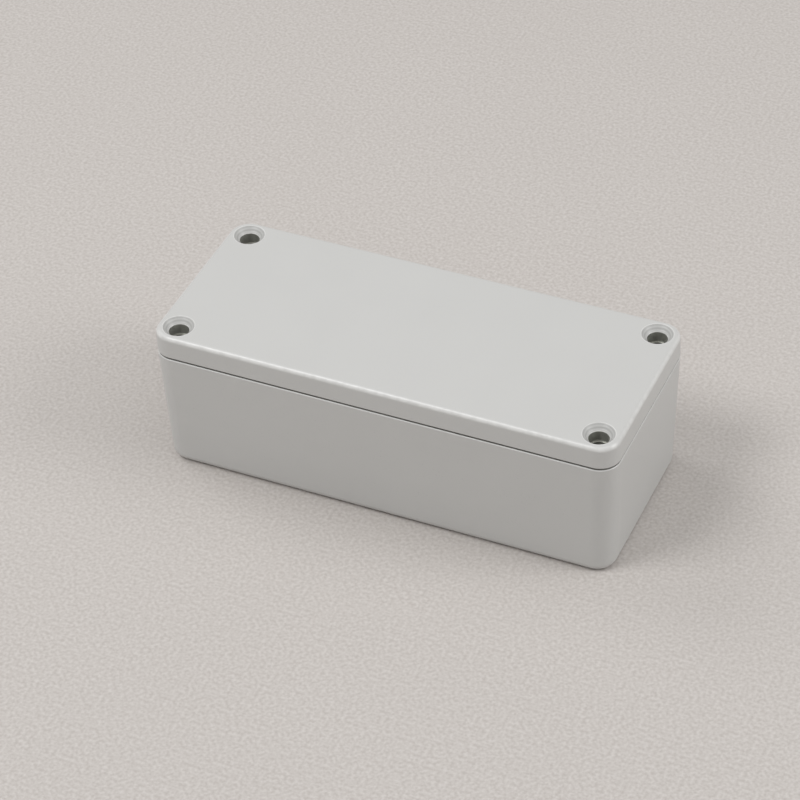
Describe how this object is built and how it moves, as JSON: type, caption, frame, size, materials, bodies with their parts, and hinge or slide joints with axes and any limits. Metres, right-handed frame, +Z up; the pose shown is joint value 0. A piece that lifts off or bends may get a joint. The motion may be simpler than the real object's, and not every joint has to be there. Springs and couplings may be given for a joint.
{
  "type": "die cast aluminium box",
  "caption": "Small die cast aluminium enclosure in light grey paint: a drafted rectangular body with tapped corner bosses, and a flat lid with countersunk holes that laps over the body's rim.",
  "frame": {"origin": "middle of the underside, on the surface that the box stands on", "axes": "+X along the box, +Y across it, +Z up through the lid"},
  "size_m": [0.0926, 0.0384, 0.031],
  "materials": {
    "body": "satin",
    "lid": "satin"
  },
  "bodies": {
    "root": {"body": "body", "lid": "lid"}
  },
  "joints": []
}
